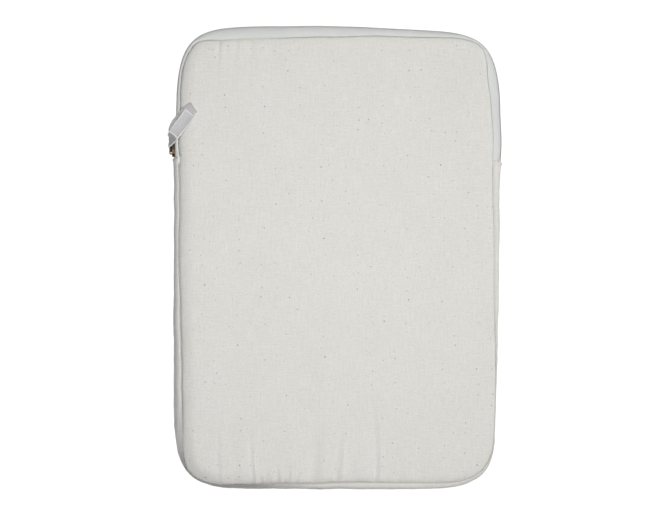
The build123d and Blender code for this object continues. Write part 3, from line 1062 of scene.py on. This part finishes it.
# the folded ends stand a little proud, then turn in over the zip tape
fold = 0.8 * np.exp(-((from_end / 6.0) ** 4)) * np.clip(0.3 + from_end / 1.0, 0, 1)
strip_sections[:, :, 0] += fold[:, None] * belly
bulge = 0.40 * ripple(strip_s, columns, 15.0, 3.0) + 0.22 * ripple(strip_s, columns, 5.0, 9.0)
near_end = np.exp(-from_end / 9.0)
crumple = 0.40 * ripple(strip_s, columns, 3.0, 21.0) * near_end[:, None]
strip_sections[:, :, 0] += (bulge + crumple) * belly**1.5
strip_grid, strip_uv = rim_grid(strip_s, strip_sections)
# its cloth is measured from the front seam
strip_uv[:, :, 0] = strip_uv[:, -1:, 0] - strip_uv[:, :, 0]
strip_grid[:, :, 1] += crumple * belly * 1.2 * near_end[:, None]
gusset_strip = sheet_mesh("gusset_strip", strip_grid, strip_uv, 0.8)
finish_piece(gusset_strip, strip_canvas, ("gusset_cover",), "case")

# ---- Gusset lining, inside it ----

lining_sections = strip_sections[:, 3:-3].copy()
lining_sections[:, :, 0] -= 1.5
lining_grid, lining_uv = rim_grid(strip_s[2:-2], lining_sections[2:-2])
gusset_lining = sheet_mesh("gusset_lining_sheet", lining_grid, lining_uv, 0.35)
finish_piece(gusset_lining, lining_cloth, ("gusset_lining",), "case")

# ---- Zip tapes: each from its seam to the coil, tucked under the gusset strip at both ends ----

TUCK_LENGTH = 7.0
COIL_Z = 2.3
tape_s = np.arange(right_end_s - TUCK_LENGTH, left_end_s + TUCK_LENGTH, 1.6)


def zip_tape(name, roll, seam_z, dip, side, seed):
    """side is 1 for the front tape and -1 for the back one."""
    sections = np.array(
        [tape_section(r, z, d, mid_z + side * COIL_Z) for r, z, d in zip(roll, seam_z, dip)]
    )
    count = sections.shape[1]
    belly = np.sin(np.linspace(0, math.pi, count))
    sections[:, :, 0] += 0.35 * ripple(tape_s, count, 22.0, seed) * belly
    sections[:, :, 1] += side * 0.22 * ripple(tape_s, count, 12.0, seed + 1) * belly
    sections[:, :, 0] -= tuck(tape_s, 1.4)[:, None]
    from_end = np.minimum(tape_s - right_end_s, left_end_s - tape_s)
    sections[:, :, 1] -= side * 0.6 * np.exp(-((from_end / 1.3) ** 2))[:, None] * belly
    if side > 0:
        sections = sections[:, ::-1]
    grid, uv = rim_grid(tape_s, sections)
    obj = sheet_mesh(name, grid, uv, 0.55)
    return obj


front_roll = roll_at(tape_s)
front_dip = eased(SEAM_DIP, place_of(tape_s))
same = np.ones(len(tape_s))
tape_front = zip_tape("zip_tape_front_half", front_roll, seam_height(tape_s), front_dip, 1, 2.0)
tape_back = zip_tape(
    "zip_tape_back_half", 0.7 * front_roll + 1.2, BACK_SEAM_Z * same, BACK_DIP * same, -1, 6.0
)
finish_piece(tape_front, tape_cloth, ("zip_tape_front", "zip_tape_front_legs"))
finish_piece(tape_back, tape_cloth, ("zip_tape_back",), "case")

# ---- Seam thread along the top: a tan thread in the seam's valley, partly real thread and partly painted shade, for the thin tan line of shade between the front panel and the zip tape ----

THREAD_RADIUS = 0.22
# how far from the zip's right and left ends it starts and stops, past the corners
THREAD_FROM, THREAD_TO = 118.0, 70.0
thread_s = np.arange(right_end_s + THREAD_FROM, left_end_s - THREAD_TO, 1.5)
thread_t = place_of(thread_s)
thread_out = 0.30 - roll_at(thread_s) + 0.12 * wave(thread_s, 0 * thread_s, 5.0, 31.0)
thread_z = seam_height(thread_s) - 0.55 * eased(SEAM_DIP, thread_t)
thread_z += 0.08 + 0.10 * wave(thread_s, 0 * thread_s, 4.0, 37.0)
thread_path = np.column_stack((edge_at(thread_t) + outward_at(thread_t) * thread_out[:, None], thread_z))
seam_shade_thread = new_mesh("seam_shade_thread_top", *tube(thread_path, THREAD_RADIUS, 6))
finish_piece(seam_shade_thread, thread, ())

# ---- Coils: one nylon helix along each tape's edge ----

COIL_PITCH = 1.5
# radius of the coil's wire
COIL_WIRE = 0.33


def zip_coil(name, side, shift):
    """side is 1 for the front coil, -1 for the back one, which sits half a pitch along."""
    start, end = right_end_s + 0.2, left_end_s - 2.5
    teeth = int((end - start) / COIL_PITCH)
    # one turn of the wire: (share of the pitch, distance out, height from the middle)
    turn = (
        (0.00, 0.55, 2.5),
        (0.03, 0.60, 0.4),
        (0.14, 0.45, -0.35),
        (0.25, 0.00, -0.55),
        (0.36, -0.45, -0.35),
        (0.47, -0.60, 0.4),
        (0.50, -0.55, 2.5),
        (0.75, 0.00, 2.75),
    )
    s = np.array([start + (k + shift + p) * COIL_PITCH for k in range(teeth) for p, _, _ in turn])
    out = np.array([n for _ in range(teeth) for _, n, _ in turn])
    up = np.array([h for _ in range(teeth) for _, _, h in turn])
    t = place_of(s)
    flat = edge_at(t) + outward_at(t) * (out - 0.75)[:, None]
    path = np.column_stack((flat, mid_z + side * up))
    return new_mesh(name, *tube(path, COIL_WIRE, 5))


coil_front = zip_coil("zip_coil_front_half", 1, 0.0)
coil_back = zip_coil("zip_coil_back_half", -1, 0.5)
finish_piece(coil_front, nylon, ("zip_coil_front", "zip_coil_front_legs"))
finish_piece(coil_back, nylon, ("zip_coil_back",), "case")

# ---- Binding over the seam allowances, inside ----

binding_low, binding_high = box_mm("seam_binding_back")
BINDING_ROUND = 0.35


def seam_binding(name, low_z, high_z):
    """A folded tape that stands along the seam inside."""
    s = np.arange(0, AROUND, 2.2)
    t = place_of(s)
    roll = roll_at(s)
    thickness = 1.3
    out = np.array((-thickness, -thickness - 0.1, -thickness, 0.0, 0.1, 0.0)) - 2.2
    height = np.array((low_z, (low_z + high_z) / 2, high_z, high_z, (low_z + high_z) / 2, low_z))
    ripples = 0.25 * wave(s, 0 * s, 9.0, low_z)
    sections = np.zeros((len(s), 6, 2))
    sections[:, :, 0] = out[None] - roll[:, None] + ripples[:, None]
    sections[:, :, 1] = height[None]
    grid, uv = rim_grid(s, sections)
    faces = grid_faces(*grid.shape[:2], round_rows=True, round_columns=True)
    obj = new_mesh(name, grid.reshape(-1, 3), faces, uv.reshape(-1, 2))
    bevel = obj.modifiers.new("soft_edges", "BEVEL")
    bevel.width = BINDING_ROUND / MM
    bevel.segments = 2
    bevel.limit_method = "ANGLE"
    return obj


binding_back = seam_binding("seam_binding_back_loop", binding_low[2] + 0.2, binding_high[2])
front_binding_low, front_binding_high = box_mm("seam_binding_front_lower")
binding_front = seam_binding("seam_binding_front_loop", front_binding_low[2], front_binding_high[2] - 0.2)
finish_piece(binding_back, binding_cloth, ("seam_binding_back",), "case")
finish_piece(
    binding_front, binding_cloth, ("seam_binding_front_lower", "seam_binding_front_flap")
)

# ---- Bar tacks at the zip's ends ----

STITCH_RADIUS = 0.17


def stitch(start, end, out, rise):
    """One stitch: a short thread that dips into the cloth at both ends."""
    s = np.linspace(0, 1, 7)[:, None]
    lift = rise * np.sin(np.pi * s) ** 0.6 - 0.25
    return start + (end - start) * s + out * lift


def bar_tack(s_place, toward, outside):
    """A row of close stitches across the gusset strip's folded end."""
    parts = []
    t = place_of(np.array([s_place]))
    edge, out = edge_at(t)[0], outward_at(t)[0]
    out3 = np.array((out[0], out[1], 0.0))
    along = np.array((-out[1], out[0], 0.0)) * toward
    base = np.array((edge[0], edge[1], mid_z)) + out3 * outside
    for k in range(9):
        z = -3.6 + 0.9 * k
        a = base + np.array((0, 0, z)) - along * 0.4
        b = base + np.array((0, 0, z + 0.25)) + along * 1.9
        parts.append(tube(stitch(a, b, out3, 0.42), STITCH_RADIUS, 5))
    return parts


tack_points, tack_faces = joined(
    bar_tack(right_end_s - 1.6, -1, 0.75) + bar_tack(left_end_s + 1.6, 1, 0.75)
)
end_tacks = new_mesh("end_tack_stitches", tack_points, tack_faces)
finish_piece(end_tacks, thread, ("end_tacks",), "case")


# ---------------------------------------------------------------------------
# Slider, ring and ribbon
# ---------------------------------------------------------------------------

for node in ("slider_body", "pull_ring", "zip_top_stops", "zip_bottom_stop"):
    part = frame["nodes"][node]
    part.data.materials.clear()
    part.data.materials.append(metal)

RIBBON_WIDTH = 10.0
RIBBON_THICK = 0.5
# how far the ribbon's middle passes from the middle of the ring's bar
BAR_REACH = 0.66
# the ribbon's inner side has its cloth coordinates moved by this much
RIBBON_SIDE_SHIFT = 200.0
# how far the ring leans from upright
PULL_ANGLE = math.radians(52)

bar = np.array(joints["ribbon_swing"]["pos_m"]) * MM
ring_along = np.array((0.0, math.sin(PULL_ANGLE), math.cos(PULL_ANGLE)))
ring_across = np.array((0.0, -math.cos(PULL_ANGLE), math.sin(PULL_ANGLE)))


def smooth_path(points, steps):
    """A smooth line through a few points."""
    points = np.asarray(points, float)
    padded = np.concatenate(([2 * points[0] - points[1]], points, [2 * points[-1] - points[-2]]))
    line = []
    for i in range(1, len(padded) - 2):
        p0, p1, p2, p3 = padded[i - 1 : i + 3]
        for s in np.linspace(0, 1, steps, endpoint=False):
            bend = (2 * p0 - 5 * p1 + 4 * p2 - p3) * s**2 + (3 * p1 - p0 - 3 * p2 + p3) * s**3
            line.append(0.5 * (2 * p1 + (p2 - p0) * s + bend))
    line.append(padded[-2])
    return np.array(line)


def on_panel(x, y, above):
    return np.array((x, y, face_height(x, y) + above))


def heading(degrees):
    """Direction of the ribbon's width where it lies flat and runs at that angle."""
    angle = math.radians(degrees)
    return np.array((math.sin(angle), -math.cos(angle), 0.0))


def round_bar(degrees):
    """A station of the ribbon where it passes round the ring's bar."""
    angle = math.radians(degrees)
    out = np.array((math.cos(angle), 0.0, 0.0)) - math.sin(angle) * ring_along
    return bar + BAR_REACH * out + 0.25 * ring_across, ring_across, 0.69, 0.0


# Stations of the ribbon, as (centre, direction of its width, share of its full width, cupping).
# It starts at the end that lies on the panel, goes down over the rim and through the ring,
# and comes back up over itself.
ribbon_stations = (
    (on_panel(-107.3, 112.8, 0.50), heading(31), 1.0, 0.9),
    (on_panel(-110.5, 110.6, 0.45), heading(35), 1.0, 1.1),
    (on_panel(-113.9, 107.8, 0.50), heading(43), 1.0, 1.3),
    (on_panel(-117.0, 104.1, 0.70), heading(52), 1.0, 1.3),
    (np.array((-119.7, 100.3, 22.4)), heading(61), 1.0, 1.3),
    (np.array((-121.8, 96.2, 21.7)), unit(heading(68) + 0.12 * ring_across), 1.0, 1.2),
    (np.array((-123.1, 92.4, 20.2)), unit(heading(66) + 0.55 * ring_across), 0.97, 0.9),
    (np.array((-124.0, 89.9, 18.0)), unit(0.4 * heading(60) + ring_across), 0.84, 0.4),
    (bar + (0.66, 1.6, 1.1), ring_across, 0.71, 0.1),
    round_bar(0),
    round_bar(45),
    round_bar(90),
    round_bar(135),
    round_bar(180),
    (np.array((-126.2, 86.8, 17.0)), unit(np.array((-0.12, -0.82, 0.56))), 0.86, 0.1),
    (np.array((-125.5, 87.8, 20.0)), unit(np.array((0.24, -0.88, 0.38))), 0.98, 0.5),
    (np.array((-123.9, 89.9, 22.9)), unit(heading(40) + 0.30 * ring_across), 1.0, 1.1),
    (np.array((-122.3, 91.9, 24.7)), unit(heading(38) + 0.12 * ring_across), 1.0, 1.3),
    (np.array((-119.8, 95.2, 25.2)), heading(48), 1.0, 1.3),
    (np.array((-115.5, 100.9, 24.7)), heading(54), 1.0, 1.3),
    (on_panel(-110.0, 108.6, 1.9), heading(46), 1.0, 1.0),
)
# the station at the crest of its upper fold
CREST_STATION = 17


def ribbon_grid(stations, steps=6, columns=13):
    """Points of the ribbon, its cloth coordinates and its length. It is slightly cupped across."""
    centre = smooth_path([s[0] for s in stations], steps)
    across = smooth_path([s[1] for s in stations], steps)
    share, cup = smooth_path([(s[2], s[3], 0) for s in stations], steps)[:, :2].T
    run = np.gradient(centre, axis=0)
    run /= np.linalg.norm(run, axis=1)[:, None]
    across -= run * (across * run).sum(1)[:, None]
    across /= np.linalg.norm(across, axis=1)[:, None]
    up = np.cross(run, across)
    length = closed_lengths(centre)
    place = np.linspace(-1, 1, columns)
    half = share * RIBBON_WIDTH / 2 * 0.93
    arch = (1 - place**2)[None] * cup[:, None]
    # where it is drawn together by the ring, the cloth lies in small pleats
    arch = arch + (1 - share)[:, None] * 0.4 * np.cos(place * 3 * math.pi)[None]
    along, sideways = np.meshgrid(length, place, indexing="ij")
    arch += 0.25 * share[:, None] ** 4 * wave(along, sideways * 3, 6.0, 4.0)
    grid = centre[:, None] + across[:, None] * (place[None] * half[:, None])[:, :, None]
    grid += up[:, None] * arch[:, :, None]
    uv = np.stack((sideways * RIBBON_WIDTH / 2, along), axis=2)
    return grid, uv, length[-1], length[CREST_STATION * steps]


ribbon_points, ribbon_uv, ribbon_length, ribbon_crest = ribbon_grid(ribbon_stations)
ribbon_cloth = ribbon_material()
pull_ribbon = sheet_mesh("ribbon_pull", ribbon_points, ribbon_uv, RIBBON_THICK, RIBBON_SIDE_SHIFT)
finish_piece(pull_ribbon, ribbon_cloth, ("pull_ribbon",), "ribbon")


# ---------------------------------------------------------------------------
# Floor, light and camera
# ---------------------------------------------------------------------------

FLOOR_REACH = 6.0
floor_mesh = bpy.data.meshes.new("floor")
floor_corners = [(x * FLOOR_REACH, y * FLOOR_REACH, 0) for x, y in ((-1, -1), (1, -1), (1, 1), (-1, 1))]
floor_mesh.from_pydata(floor_corners, [], [(0, 1, 2, 3)])
floor = bpy.data.objects.new("floor", floor_mesh)
scene.collection.objects.link(floor)
white = bpy.data.materials.new("white_floor")
white.use_nodes = True
white_shader = white.node_tree.nodes["Principled BSDF"]
white_shader.inputs["Base Color"].default_value = (0.25, 0.25, 0.25, 1)
white_shader.inputs["Roughness"].default_value = 0.9
white_shader.inputs["Specular IOR Level"].default_value = 0.1
white_shader.inputs["Emission Color"].default_value = (1, 1, 1, 1)
white_shader.inputs["Emission Strength"].default_value = 0.92
floor_mesh.materials.append(white)
floor.location.z = -0.0002

world = bpy.data.worlds.new("studio")
world.use_nodes = True
world.node_tree.nodes["Background"].inputs["Color"].default_value = (1, 1, 1, 1)
world.node_tree.nodes["Background"].inputs["Strength"].default_value = 0.06
scene.world = world
scene.view_settings.view_transform = "Standard"


def area_light(name, place, aim, size, power):
    data = bpy.data.lights.new(name, "AREA")
    data.shape = "DISK"
    data.size = size
    data.energy = power
    light = bpy.data.objects.new(name, data)
    light.location = place
    direction = Vector(aim) - Vector(place)
    light.rotation_euler = direction.to_track_quat("-Z", "Y").to_euler()
    scene.collection.objects.link(light)


area_light("overhead", (0.02, 0.02, 0.90), (0, 0, 0), 0.45, 7.4)
area_light("right_side", (2.4, 0.9, 0.9), (0, 0, 0), 1.0, 15.0)

# metres above the middle of the sleeve, and how wide the view is there
CAMERA_DISTANCE = 1.45
VIEW_WIDTH = 0.506425
camera_data = bpy.data.cameras.new("camera")
camera_data.sensor_width = 36.0
camera_data.lens = camera_data.sensor_width * CAMERA_DISTANCE / VIEW_WIDTH
camera_data.clip_end = 20.0
camera = bpy.data.objects.new("camera", camera_data)
camera.location = (-0.0015, 0.0, CAMERA_DISTANCE + mid_z / MM)
scene.collection.objects.link(camera)
scene.camera = camera
